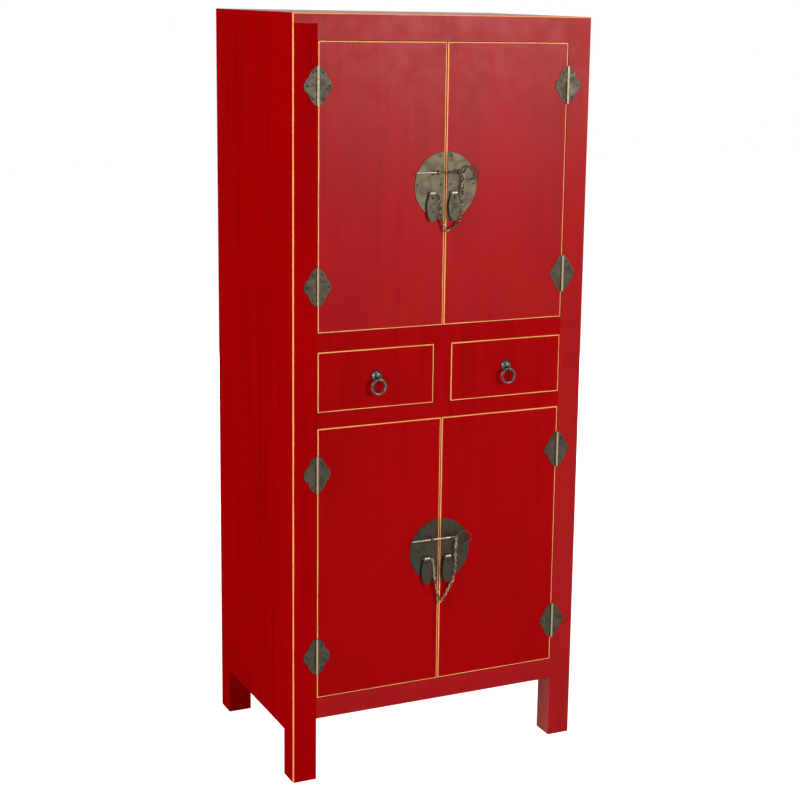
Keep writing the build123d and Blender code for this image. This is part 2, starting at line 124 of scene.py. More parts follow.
# Each metal: colour and share of it on the face, the same for the tarnish, roughness, patches per
# metre and strength of the dents
METALS = {
    # The lower plate and pendant metals are darker than the upper ones: painted shade
    "upper_plate_metal": ("plate", 1.0, "plate", 0.7, 0.45, 70.0, 0.35),
    "lower_plate_metal": ("plate", 0.40, "patina", 0.8, 0.45, 70.0, 0.35),
    "leaf_metal": ("plate", 0.6, "patina", 0.9, 0.40, 110.0, 0.35),
    "upper_pendant_metal": ("plate", 0.7, "patina", 1.0, 0.42, 120.0, 0.35),
    "lower_pendant_metal": ("plate", 0.4, "patina", 1.0, 0.42, 120.0, 0.35),
    "upper_pin_metal": ("plate", 0.5, "patina", 1.0, 0.32, 200.0, 0.15),
    "lower_pin_metal": ("plate", 0.5, "patina", 1.0, 0.32, 200.0, 0.15),
    "staple_metal": ("plate", 1.3, "plate", 0.5, 0.35, 200.0, 0.15),
    # The lower links are lighter than the upper ones: painted highlight
    "upper_link_metal": ("plate", 0.6, "patina", 0.15, 0.25, 260.0, 0.15),
    "lower_link_metal": ("plate", 1.2, "patina", 0.3, 0.25, 260.0, 0.15),
    "bronze_metal": ("bronze", 1.0, "bronze", 0.3, 0.20, 150.0, 0.2),
    "nail_metal": ("plate", 0.3, "patina", 0.5, 0.5, 300.0, 0.35),
}

# Nodes by finish
CARCASS = ("front_left_leg", "front_right_leg", "rear_left_leg", "rear_right_leg", "top_board", "top_rail",
           "middle_rails", "bottom_rail", "drawer_divider", "side_panels")
MATT = ("front_left_leg", "rear_left_leg", "rear_right_leg", "side_panels")
DULL = ("middle_rails", "drawer_divider")
DOORS = tuple(f"{level}_{side}_door_panel" for level in LEVELS for side in SIDES)
DRAWER_FRONTS = tuple(f"{side}_drawer_front" for side in SIDES)
INNER_WOOD = ("rear_rails", "back_panel", "bottom_board", "decks", "shelves", "cleats", "drawer_guides",
              "left_drawer_box", "right_drawer_box")


# ---------------------------------------------------------------- settings


class LacquerSettings(bpy.types.PropertyGroup):
    """Colours and wear of the lacquered and the inner wood."""

    red: FloatVectorProperty(name="Red", description="Main colour of the lacquer", subtype="COLOR",
                             size=3, min=0, max=1, default=(0.32, 0.0006, 0.0015))
    deep_red: FloatVectorProperty(name="Deep red", description="Darker streaks in the lacquer",
                                  subtype="COLOR", size=3, min=0, max=1, default=(0.250, 0.0004, 0.0012))
    gold: FloatVectorProperty(name="Gold", description="Ochre undercoat that shows along the edges",
                              subtype="COLOR", size=3, min=0, max=1, default=(0.95, 0.42, 0.14))
    gold_width: FloatProperty(name="Gold width", description="Width of the ochre line along an edge",
                              unit="LENGTH", default=0.0016)
    streak_width: FloatProperty(name="Streak width", description="Typical width of a brushed streak",
                                unit="LENGTH", default=0.012)
    inner: FloatVectorProperty(name="Inner wood", description="Stain of the boards inside", subtype="COLOR",
                               size=3, min=0, max=1, default=(0.30, 0.055, 0.028))
    inner_dark: FloatVectorProperty(name="Inner grain", description="Grain of the boards inside",
                                    subtype="COLOR", size=3, min=0, max=1, default=(0.15, 0.025, 0.014))
    shine: FloatProperty(name="Shine", description="Strength of the reflections on polished lacquer",
                         min=0, max=1, default=0.095)
    dull_shine: FloatProperty(name="Dull shine", min=0, max=1, default=0.02,
                              description="Strength of the reflections on drawers, lower doors and rails")


class BrassSettings(bpy.types.PropertyGroup):
    """Colours of the aged metal and the sizes of the small hardware."""

    plate: FloatVectorProperty(name="Plate", description="Worn face of the lock plates", subtype="COLOR",
                               size=3, min=0, max=1, default=(0.082, 0.067, 0.044))
    patina: FloatVectorProperty(name="Patina", description="Dark tarnish of the metal", subtype="COLOR",
                                size=3, min=0, max=1, default=(0.026, 0.022, 0.016))
    # This brass colour also paints the highlights on the hinge barrels and pendant tops and the chains'
    # glints
    bright: FloatVectorProperty(name="Rubbed brass", description="Metal rubbed bright by hands",
                                subtype="COLOR", size=3, min=0, max=1, default=(0.36, 0.28, 0.17))
    bronze: FloatVectorProperty(name="Bronze", description="Drawer knobs and rings", subtype="COLOR",
                                size=3, min=0, max=1, default=(0.085, 0.080, 0.070))
    rim: FloatProperty(name="Rim", description="Width of the filed edge of sheet pieces",
                       unit="LENGTH", default=0.0003)
    nail_radius: FloatProperty(name="Nail radius", description="Radius of a nail's head",
                               unit="LENGTH", default=0.0015)
    nail_height: FloatProperty(name="Nail height", description="Height of a nail's domed head",
                               unit="LENGTH", default=0.0009)
    link_length: FloatProperty(name="Link length", description="Outer length of a chain link",
                               unit="LENGTH", default=0.0074)
    link_width: FloatProperty(name="Link width", description="Outer width of a chain link",
                              unit="LENGTH", default=0.0048)
    link_wire: FloatProperty(name="Link wire", description="Radius of the wire of a link",
                             unit="LENGTH", default=0.0008)
    twist_seed: IntProperty(name="Twist seed", description="Seed of the links' uneven twist", default=7)


class StageSettings(bpy.types.PropertyGroup):
    """Camera, lights and floor."""

    camera_place: FloatVectorProperty(name="Camera", description="Place of the camera", subtype="XYZ",
                                      unit="LENGTH", size=3, default=(-1.17029, -2.59747, 1.23065))
    camera_yaw: FloatProperty(name="Yaw", description="Turn of the camera to the right of the back",
                              subtype="ANGLE", default=math.radians(26.98))
    camera_pitch: FloatProperty(name="Pitch", description="Tilt of the camera below the horizon",
                                subtype="ANGLE", default=math.radians(11.769))
    camera_roll: FloatProperty(name="Roll", description="Tilt of the camera's right side upwards",
                               subtype="ANGLE", default=math.radians(1.2416))
    lens: FloatProperty(name="Lens", description="Focal length in millimetres", default=78.875)
    shift: FloatVectorProperty(name="Shift", description="Shift of the lens", size=2,
                               default=(-0.10025, -0.05))


# ---------------------------------------------------------------- helpers


def settings(name):
    """The settings group of that name, on the scene."""
    return getattr(bpy.context.scene, f"cabinet_{name}")


def add_node(tree, kind, values=(), links=(), **options):
    """A node of that kind, with its options, socket values and links from other sockets."""
    node = tree.nodes.new(kind)
    for key, value in options.items():
        setattr(node, key, value)
    for socket, value in dict(values).items():
        node.inputs[socket].default_value = value
    for socket, source in dict(links).items():
        tree.links.new(source, node.inputs[socket])
    return node


def fill(tree, socket, value):
    """Links value to the socket where it is a socket too, and sets it otherwise."""
    if isinstance(value, bpy.types.NodeSocket):
        tree.links.new(value, socket)
    else:
        socket.default_value = value


def math_node(tree, operation, first, second=0.0):
    """Output of a Math node; first and second are sockets or numbers."""
    node = add_node(tree, "ShaderNodeMath", operation=operation)
    for socket, value in zip(node.inputs, (first, second)):
        fill(tree, socket, value)
    return node.outputs[0]


def in_sight(tree):
    """Socket that is 1 for rays from the camera, off glossy surfaces and through glass."""
    path = add_node(tree, "ShaderNodeLightPath").outputs
    glossy = math_node(tree, "MAXIMUM", path["Is Camera Ray"], path["Is Glossy Ray"])
    return math_node(tree, "MAXIMUM", glossy, path["Is Transmission Ray"])


class Shading:
    """Short ways to add the nodes that the materials share."""

    def __init__(self, name):
        self.material = bpy.data.materials.new(name)
        self.material.use_nodes = True
        self.tree = self.material.node_tree
        self.shader = self.tree.nodes["Principled BSDF"]
        self.place = add_node(self.tree, "ShaderNodeTexCoord").outputs["Object"]

    def math(self, operation, first, second=0.0):
        """Output of a Math node; first and second are sockets or numbers."""
        return math_node(self.tree, operation, first, second)

    def gap(self, first, second):
        """Distance between two values."""
        return self.math("ABSOLUTE", self.math("SUBTRACT", first, second))

    def blend(self, *parts):
        """Sum of values, each given with its share."""
        total = None
        for value, share in parts:
            part = self.math("MULTIPLY", value, share)
            total = part if total is None else self.math("ADD", total, part)
        return total

    def stretched(self, scale, turn=(0, 0, 0)):
        """Object coordinates, scaled and turned."""
        mapping = add_node(self.tree, "ShaderNodeMapping", {"Scale": scale, "Rotation": turn},
                           {"Vector": self.place})
        return mapping.outputs["Vector"]

    def noise(self, scale, vector=None, detail=3.0, roughness=0.5, distortion=0.0):
        """Value of a noise texture, on object coordinates unless a vector is given."""
        node = add_node(self.tree, "ShaderNodeTexNoise",
                        {"Scale": scale, "Detail": detail, "Roughness": roughness, "Distortion": distortion},
                        {"Vector": vector or self.place})
        return node.outputs["Fac"]

    def ramp(self, value, low, high, out_low=0.0, out_high=1.0):
        """Value taken from low..high to out_low..out_high, smoothly and clamped."""
        node = add_node(self.tree, "ShaderNodeMapRange",
                        {"From Min": low, "From Max": high, "To Min": out_low, "To Max": out_high},
                        {"Value": value}, interpolation_type="SMOOTHSTEP")
        return node.outputs["Result"]

    def fall(self, value, low, high):
        """1 where value is under low, 0 where it is over high."""
        return self.ramp(value, low, high, 1.0, 0.0)

    def mix(self, share, first, second):
        """Colour between first and second, each a socket or a colour; the node's sockets 6 and 7."""
        node = add_node(self.tree, "ShaderNodeMix", links={"Factor": share}, data_type="RGBA")
        for socket, value in ((node.inputs[6], first), (node.inputs[7], second)):
            is_link = isinstance(value, bpy.types.NodeSocket)
            fill(self.tree, socket, value if is_link else (*value, 1.0))
        return node.outputs[2]

    def axes(self):
        """The X, Y and Z of the object coordinates."""
        split = add_node(self.tree, "ShaderNodeSeparateXYZ", links={"Vector": self.place})
        return split.outputs["X"], split.outputs["Y"], split.outputs["Z"]

    def bump(self, height, strength, distance):
        """A bump from height, given to the shader."""
        node = add_node(self.tree, "ShaderNodeBump", {"Strength": strength, "Distance": distance},
                        {"Height": height})
        self.tree.links.new(node.outputs["Normal"], self.shader.inputs["Normal"])

    def give(self, **sockets):
        """Values or links for the shader's sockets, named with underscores for spaces."""
        for key, value in sockets.items():
            fill(self.tree, self.shader.inputs[key.replace("_", " ")], value)
        return self.material


def merge_corners(mesh):
    """Merges a mesh's double corners and turns its faces outward."""
    solid = bmesh.new()
    solid.from_mesh(mesh)
    bmesh.ops.remove_doubles(solid, verts=solid.verts, dist=MERGE)
    bmesh.ops.recalc_face_normals(solid, faces=solid.faces)
    solid.to_mesh(mesh)
    solid.free()


def join_flat_faces(mesh):
    """Joins the faces of a mesh that lie in one plane."""
    sheet = bmesh.new()
    sheet.from_mesh(mesh)
    bmesh.ops.dissolve_limit(sheet, angle_limit=FLAT_ANGLE, verts=sheet.verts, edges=sheet.edges)
    sheet.to_mesh(mesh)
    sheet.free()


def node_mesh_copy(node, name):
    """A new object with a merged copy of a CAD node's mesh."""
    mesh = frame["nodes"][node].data.copy()
    mesh.name = name
    merge_corners(mesh)
    return new_piece(name, mesh)


def made_real(piece):
    """The mesh of piece with its modifiers or its curve's thickness applied."""
    graph = bpy.context.evaluated_depsgraph_get()
    graph.update()
    return bpy.data.meshes.new_from_object(piece.evaluated_get(graph))


def shade_rounds(mesh, sharp):
    """Shades a mesh smooth but for edges sharper than the angle sharp."""
    mesh.shade_smooth()
    mesh.set_sharp_from_angle(angle=sharp)


def smooth_line(name, points):
    """A curve object that runs smoothly along points, from the first to the last."""
    curve = bpy.data.curves.new(name, "CURVE")
    curve.dimensions = "3D"
    spline = curve.splines.new("NURBS")
    spline.points.add(len(points) - 1)
    for point, place in zip(spline.points, points):
        point.co = (*place, 1.0)
    spline.order_u = 3
    spline.use_endpoint_u = True
    return new_piece(name, curve)


def new_piece(name, mesh):
    """An object at the origin that holds mesh."""
    piece = bpy.data.objects.new(name, mesh)
    bpy.context.scene.collection.objects.link(piece)
    return piece


def only_material(piece, material):
    """Makes material the piece's one material."""
    piece.data.materials.clear()
    piece.data.materials.append(material)


def body_of_node(node):
    """The body that a CAD node belongs to."""
    bodies = frame["record"]["behaviour"]["bodies"]
    return next(body for body, nodes in bodies.items() if node in nodes)


def stand_in(piece, node, material=None):
    """Lets piece stand for a CAD node: same body and its material."""
    if material:
        only_material(piece, material)
    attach(piece, body_of_node(node))
    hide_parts(node)


def islands(node):
    """Corner pairs of the separate solids in a CAD node."""
    solid = bmesh.new()
    solid.from_mesh(frame["nodes"][node].data)
    bmesh.ops.remove_doubles(solid, verts=solid.verts, dist=MERGE)
    left = set(solid.verts)
    found = []
    while left:
        group, edge = set(), [left.pop()]
        while edge:
            vert = edge.pop()
            group.add(vert.co.copy().freeze())
            for link in vert.link_edges:
                other = link.other_vert(vert)
                if other in left:
                    left.remove(other)
                    edge.append(other)
        low = Vector(min(co[i] for co in group) for i in range(3))
        high = Vector(max(co[i] for co in group) for i in range(3))
        found.append((low, high))
    solid.free()
    return sorted(found, key=lambda pair: (round(pair[0].x, 4), round(pair[0].z, 4)))


def settled(piece, tree, values):
    """Runs a Geometry Nodes tree on piece with the named values and returns the plain mesh it makes."""
    modifier = piece.modifiers.new("Nodes", "NODES")
    modifier.node_group = tree
    for item in tree.interface.items_tree:
        if item.item_type == "SOCKET" and item.in_out == "INPUT" and item.name in values:
            modifier[item.identifier] = values[item.name]
    piece.update_tag()
    mesh = made_real(piece)
    mesh.name = piece.name
    piece.modifiers.remove(modifier)
    return mesh


def open_tree(name, inputs):
    """A Geometry Nodes tree with a geometry, those inputs and a material, and its inputs' outputs."""
    tree = bpy.data.node_groups.new(name, "GeometryNodeTree")
    face = tree.interface
    for key, kind in (("Geometry", "Geometry"), *inputs, ("Material", "Material")):
        face.new_socket(key, in_out="INPUT", socket_type=f"NodeSocket{kind}")
    face.new_socket("Geometry", in_out="OUTPUT", socket_type="NodeSocketGeometry")
    return tree, add_node(tree, "NodeGroupInput").outputs


def close_tree(tree, instances, material):
    """Ends a tree: the instances as one smooth mesh with that material."""
    real = add_node(tree, "GeometryNodeRealizeInstances", links={"Geometry": instances})
    smooth = add_node(tree, "GeometryNodeSetShadeSmooth", links={"Geometry": real.outputs["Geometry"]})
    painted = add_node(tree, "GeometryNodeSetMaterial",
                       links={"Geometry": smooth.outputs["Geometry"], "Material": material})
    add_node(tree, "NodeGroupOutput", links={"Geometry": painted.outputs["Geometry"]})


# ---------------------------------------------------------------- materials


def part_of(colour, share):
    """A colour with each channel times share."""
    return tuple(channel * share for channel in colour)


def streaked_red(shade, lacquer):
    """Share of the deeper red in brushed streaks and soft patches, and the fine streaks alone."""
    streak = 1.0 / lacquer.streak_width
    upright = shade.stretched((streak, streak, streak * STREAK_SHARE))
    fine = shade.noise(1.0, upright, detail=4.0, roughness=0.55)
    broad = shade.noise(1.0, shade.stretched((9.0, 9.0, 1.6)), roughness=0.6, distortion=0.4)
    cloud = shade.noise(3.2, detail=2.0, distortion=0.6)
    dark = shade.blend((fine, 0.45), (broad, 0.35), (cloud, 0.20))
    return shade.ramp(dark, 0.44, 0.68), fine


def edge_distance(shade, low, high):
    """Distance to the nearest side of a box along X and Z."""
    x, _, z = shade.axes()
    across = shade.math("MINIMUM", shade.gap(x, low.x), shade.gap(x, high.x))
    upright = shade.math("MINIMUM", shade.gap(z, low.z), shade.gap(z, high.z))
    return shade.math("MINIMUM", across, upright)


def worn_line(shade, distance, width):
    """Share of undercoat that shows at that distance from an edge: 1 on the line, ragged at its side."""
    ragged = shade.noise(260.0, roughness=0.7)
    slow = shade.noise(14.0, detail=2.0)
    reach = shade.math("ADD", shade.math("MULTIPLY", ragged, width * 0.5), width * 0.35)
    reach = shade.math("ADD", reach, shade.math("MULTIPLY", slow, width * 0.75))
    over = shade.math("SUBTRACT", distance, reach)
    return shade.fall(over, -width * 0.12, width * 0.16)


def finish_lacquer(shade, lacquer, gold_share, shine):
    """Lacquer with undercoat where gold_share is 1; shine is the strength of its reflections."""
    dark, fine = streaked_red(shade, lacquer)
    red = shade.mix(dark, tuple(lacquer.red), tuple(lacquer.deep_red))
    ochre = shade.mix(shade.noise(90.0), tuple(lacquer.gold), part_of(lacquer.gold, 0.8))
    colour = shade.mix(gold_share, red, ochre)
    rough = shade.ramp(shade.noise(38.0, detail=4.0, roughness=0.6), 0.3, 0.7, 0.28, 0.36)
    rough = shade.math("ADD", rough, shade.math("MULTIPLY", gold_share, 0.18))
    orange_peel = shade.noise(420.0, detail=2.0)
    shade.bump(shade.blend((fine, 0.7), (orange_peel, 0.3)), strength=0.10, distance=0.0006)
    return shade.give(Base_Color=colour, Roughness=rough, Specular_IOR_Level=shine)


def leaf_lacquer(node, lacquer):
    """Lacquer of a door or drawer front, with the ochre line round its own edges."""
    shade = Shading(f"{node}_lacquer")
    low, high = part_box(node)
    gold = worn_line(shade, edge_distance(shade, low, high), lacquer.gold_width)
    front_only = shade.fall(shade.axes()[1], low.y + LINE_DEPTHS[0], low.y + LINE_DEPTHS[1])
    shine = lacquer.shine if node.startswith("upper") else lacquer.dull_shine
    return finish_lacquer(shade, lacquer, shade.math("MULTIPLY", gold, front_only), shine)


def carcass_lacquer(name, lacquer, shine):
    """Lacquer of the carcass, with the ochre line on its front corners and along its top's front edge."""
    shade = Shading(name)
    left_leg, right_leg = (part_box(f"front_{side}_leg") for side in SIDES)
    x, y, z = shade.axes()
    to_front = shade.gap(y, left_leg[0].y)
    to_left = shade.gap(x, left_leg[0].x)
    to_right = shade.gap(x, right_leg[1].x)
    to_top = shade.gap(z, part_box("top_board")[1].z)
    side = shade.math("MULTIPLY", to_front, NARROWER["left_side"])
    left_corner = shade.math("MAXIMUM", to_left, side)
    front = shade.math("MULTIPLY", to_right, NARROWER["right_front"])
    right_corner = shade.math("MAXIMUM", front, to_front)
    front = shade.math("MULTIPLY", to_top, NARROWER["top_front"])
    top_corner = shade.math("MAXIMUM", front, to_front)
    nearest = shade.math("MINIMUM", shade.math("MINIMUM", left_corner, right_corner), top_corner)
    return finish_lacquer(shade, lacquer, worn_line(shade, nearest, lacquer.gold_width), shine)


def inner_wood(lacquer):
    """Thin red stain on plain boards, with grain along their length."""
    shade = Shading("inner_wood")
    grain = shade.noise(1.0, shade.stretched((7.0, 60.0, 60.0)), detail=5.0, roughness=0.6, distortion=0.8)
    pores = shade.noise(1.0, shade.stretched((25.0, 400.0, 400.0)), detail=2.0)
    colour = shade.mix(shade.ramp(grain, 0.35, 0.7), tuple(lacquer.inner), tuple(lacquer.inner_dark))
    height = shade.math("ADD", grain, shade.math("MULTIPLY", pores, 0.5))
    shade.bump(height, strength=0.25, distance=0.0005)
    return shade.give(Base_Color=colour, Roughness=0.62)


def aged_metal(name, face, patina, roughness, patch, dents, rubbed_and_highlight):
    """Metal with clouds of tarnish, fine scratches and a slightly beaten face.

    The last argument takes the shading and returns where the metal is painted bright, as brass worn bright
    and as painted highlight, from 0 to 1; it may be None.
    """
    shade = Shading(name)
    cloud = shade.noise(patch, detail=5.0, roughness=0.62, distortion=0.5)
    speckle = shade.noise(patch * 9, detail=2.0, roughness=0.7)
    slanted = shade.stretched((160.0, 160.0, 2600.0), turn=(0.0, 0.6, 0.0))
    scratch = shade.noise(1.0, slanted, detail=2.0)
    tarnish = shade.blend((cloud, 0.7), (speckle, 0.3))
    colour = shade.mix(shade.ramp(tarnish, 0.42, 0.66), face, patina)
    rough = shade.ramp(tarnish, 0.35, 0.7, roughness, roughness + 0.2)
    if rubbed_and_highlight:
        # Brass worn bright and painted highlights, mixed into the colour
        share = shade.math("MULTIPLY", rubbed_and_highlight(shade), shade.ramp(speckle, 0.3, 0.6, 1.0, 0.6))
        colour = shade.mix(share, colour, tuple(settings("brass").bright))
        rough = shade.math("SUBTRACT", rough, shade.math("MULTIPLY", share, 0.12))
    beaten = shade.noise(240.0, detail=1.5)
    shade.bump(shade.blend((beaten, 0.8), (scratch, 0.2)), strength=dents, distance=0.0005)
    return shade.give(Base_Color=colour, Roughness=rough, Metallic=0.85)


def barrel_highlight_share(shade):
    """1 on the hinges' barrels, 0 on their leaves: where the barrels get a painted highlight."""
    low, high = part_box("hinge_pins")
    reach = HINGE_BARREL * 1.1
    soft = HINGE_BARREL * 0.4
    axis_x = (high.x - low.x) / 2 - HINGE_PIN
    axis_y = low.y + HINGE_PIN
    x, y, _ = shade.axes()
    across = shade.gap(shade.math("ABSOLUTE", x), axis_x)
    proud = shade.fall(y, axis_y - soft, axis_y + soft)
    return shade.math("MULTIPLY", shade.fall(across, reach * 0.7, reach), proud)


def painted_glints(start):
    """Makes a share of painted glints, bright flecks, more of them with a lower start."""
    return lambda shade: shade.ramp(shade.noise(230.0, detail=2.0), start, start + 0.08)


def above(height, soft=0.0006):
    """Makes a share of brass worn bright and painted highlight that is 1 above height."""
    return lambda shade: shade.ramp(shade.axes()[2], height - soft, height + soft)


def left_of(place, soft=0.004):
    """Makes a share that is 1 to the left of place."""
    return lambda shade: shade.fall(shade.axes()[0], place - soft, place + soft)


def rubbed_and_highlight_on(kind):
    """What tells where the metal of that kind is painted bright, as brass worn bright and as painted
    highlight; None where it isn't.
    """
    level = kind.split("_")[0]
    if kind.endswith("pendant_metal"):
        # The pendants' rolled tops: brass worn bright with a painted highlight
        return above(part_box(f"{level}_left_pendant")[1].z - ROLL * 2)
    if kind.endswith("pin_metal"):
        return left_of(PIN_BRIGHT_LEFT_OF[level])
    if kind.endswith("link_metal"):
        # Painted glints on the chains' links
        return painted_glints(GLINT_START[level])
    # Painted highlight on the hinges' barrels
    return barrel_highlight_share if kind == "leaf_metal" else None


def metal(kind):
    """The aged metal of that kind, made once."""
    found = bpy.data.materials.get(kind)
    if found:
        return found
    brass = settings("brass")
    face, face_share, tarnish, tarnish_share, roughness, patch, dents = METALS[kind]
    return aged_metal(kind, part_of(getattr(brass, face), face_share),
                      part_of(getattr(brass, tarnish), tarnish_share), roughness, patch, dents,
                      rubbed_and_highlight_on(kind))


# ---------------------------------------------------------------- pieces


class CABINET_OT_lacquer(bpy.types.Operator):
    """Lacquer the carcass, the doors and the drawer fronts"""

    bl_idname = "cabinet.lacquer"
    bl_label = "Lacquer"

    def execute(self, context):
        lacquer = settings("lacquer")
        polished = carcass_lacquer("polished_lacquer", lacquer, lacquer.shine)
        dull = carcass_lacquer("dull_lacquer", lacquer, lacquer.dull_shine)
        matt = carcass_lacquer("matt_lacquer", lacquer, MATT_SHINE)
        finishes = {**dict.fromkeys(CARCASS, polished), **dict.fromkeys(DULL, dull),
                    **dict.fromkeys(MATT, matt)}
        for node, finish in finishes.items():
            only_material(frame["nodes"][node], finish)
        top = node_mesh_copy("top_board", "top_board_lacquered")
        shade_rounds(top.data, BOARD_SHARP)
        only_material(top, polished)
        top.data.materials.append(matt)
        for face in top.data.polygons:
            face.material_index = int(abs(face.normal.x) > END_LEAN)
        stand_in(top, "top_board")
        for node in DOORS + DRAWER_FRONTS:
            only_material(frame["nodes"][node], leaf_lacquer(node, lacquer))
        return {"FINISHED"}


class CABINET_OT_inner_wood(bpy.types.Operator):
    """Stain the boards, rails and drawer boxes inside"""

    bl_idname = "cabinet.inner_wood"
    bl_label = "Inner Wood"

    def execute(self, context):
        stain = inner_wood(settings("lacquer"))
        for node in INNER_WOOD:
            only_material(frame["nodes"][node], stain)
        return {"FINISHED"}


def filed_copy(node, material):
    """Puts a copy with filed edges in the place of a sheet-metal node."""
    piece = node_mesh_copy(node, f"{node}_filed")
    join_flat_faces(piece.data)
    bevel = piece.modifiers.new("Filed edges", "BEVEL")
    bevel.width = settings("brass").rim
    bevel.segments = 2
    bevel.limit_method = "ANGLE"
    bevel.angle_limit = FILED_ANGLE
    mesh = made_real(piece)
    piece.modifiers.remove(bevel)
    shade_rounds(mesh, SHEET_SHARP)
    piece.data = mesh
    stand_in(piece, node, material)


class CABINET_OT_hinges(bpy.types.Operator):
    """Finish the hinge leaves and their pins"""

    bl_idname = "cabinet.hinges"
    bl_label = "Hinges"

    def execute(self, context):
        nodes = ["frame_hinge_leaves"]
        nodes += [f"{level}_{side}_hinge_leaves" for level in LEVELS for side in SIDES]
        for node in nodes:
            filed_copy(node, metal("leaf_metal"))
        only_material(frame["nodes"]["hinge_pins"], metal("leaf_metal"))
        return {"FINISHED"}


class CABINET_OT_lock_plates(bpy.types.Operator):
    """Finish the halves of the round lock plates"""

    bl_idname = "cabinet.lock_plates"
    bl_label = "Lock Plates"

    def execute(self, context):
        for level in LEVELS:
            for side in SIDES:
                filed_copy(f"{level}_{side}_lock_plate", metal(f"{level}_plate_metal"))
        return {"FINISHED"}


def bent_wire(name, points, radius, straight):
    """A round wire through points as a closed mesh; the first straight points keep their line."""
    line = smooth_line(name, [*points[:straight], *points[straight - 1:]])
    curve = line.data
    curve.bevel_depth = radius
    curve.bevel_resolution = 4
    curve.resolution_u = 10
    curve.use_fill_caps = True
    mesh = made_real(line)
    bpy.data.objects.remove(line)
    merge_corners(mesh)
    mesh.shade_smooth()
    return new_piece(name, mesh)


class CABINET_OT_latches(bpy.types.Operator):
    """Bend the latch pins' handles and finish the pins, eyes, staples and pendants"""

    bl_idname = "cabinet.latches"
    bl_label = "Latches"

    def execute(self, context):
        for level in LEVELS:
            far_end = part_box(f"{level}_latch_pin")[0].x
            tip_low, tip_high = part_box(f"{level}_latch_tip")
            axis_y, axis_z = (tip_low.y + tip_high.y) / 2, (tip_low.z + tip_high.z) / 2
            corners = [(far_end, axis_y, axis_z)]
            corners += [(x * MM, axis_y, axis_z + rise * MM) for x, rise in PIN_HANDLE]
            pin = bent_wire(f"{level}_latch_wire", corners, PIN_RADIUS, 2)
            stand_in(pin, f"{level}_latch_pin", metal(f"{level}_pin_metal"))
            only_material(frame["nodes"][f"{level}_latch_tip"], metal(f"{level}_pin_metal"))
            for side in SIDES:
                only_material(frame["nodes"][f"{level}_{side}_staples"], metal("staple_metal"))
                filed_copy(f"{level}_{side}_pendant", metal(f"{level}_pendant_metal"))
        return {"FINISHED"}


class CABINET_OT_drawer_pulls(bpy.types.Operator):
    """Finish the drawer knobs and their rings"""

    bl_idname = "cabinet.drawer_pulls"
    bl_label = "Drawer Pulls"

    def execute(self, context):
        for side in SIDES:
            only_material(frame["nodes"][f"{side}_drawer_pull"], metal("bronze_metal"))
            only_material(frame["nodes"][f"{side}_drawer_ring"], metal("bronze_metal"))
        return {"FINISHED"}


def nail_tree():
    """Geometry Nodes: a domed head on every point, joined into one mesh."""
    tree, start = open_tree("Nails", (("Radius", "Float"), ("Height", "Float")))
    sphere = add_node(tree, "GeometryNodeMeshUVSphere", {"Segments": 12, "Rings": 8, "Radius": 1.0})
    squash = add_node(tree, "ShaderNodeCombineXYZ",
                      links={"X": start["Radius"], "Y": start["Height"], "Z": start["Radius"]})
    shaped = add_node(tree, "GeometryNodeTransform",
                      links={"Geometry": sphere.outputs["Mesh"], "Scale": squash.outputs["Vector"]})
    points = add_node(tree, "GeometryNodeMeshToPoints", links={"Mesh": start["Geometry"]})
    placed = add_node(tree, "GeometryNodeInstanceOnPoints",
                      links={"Points": points.outputs["Points"], "Instance": shaped.outputs["Geometry"]})
    close_tree(tree, placed.outputs["Instances"], start["Material"])
    return tree


class CABINET_OT_nails(bpy.types.Operator):
    """Set domed nails in the hinge leaves and the lock plates"""

    bl_idname = "cabinet.nails"
    bl_label = "Nails"

    def execute(self, context):
        brass = settings("brass")
        tree = nail_tree()
        values = {"Radius": brass.nail_radius, "Height": brass.nail_height, "Material": metal("nail_metal")}
        nodes = ["frame_nails"] + [f"{level}_{side}_nails" for level in LEVELS for side in SIDES]
        for node in nodes:
            heads = bpy.data.meshes.new(f"{node}_heads")
            seats = [((low.x + high.x) / 2, low.y + brass.nail_height, (low.z + high.z) / 2)
                     for low, high in islands(node)]
            heads.from_pydata(seats, [], [])
            piece = new_piece(f"{node}_heads", heads)
            piece.data = settled(piece, tree, values)
            stand_in(piece, node)
        return {"FINISHED"}


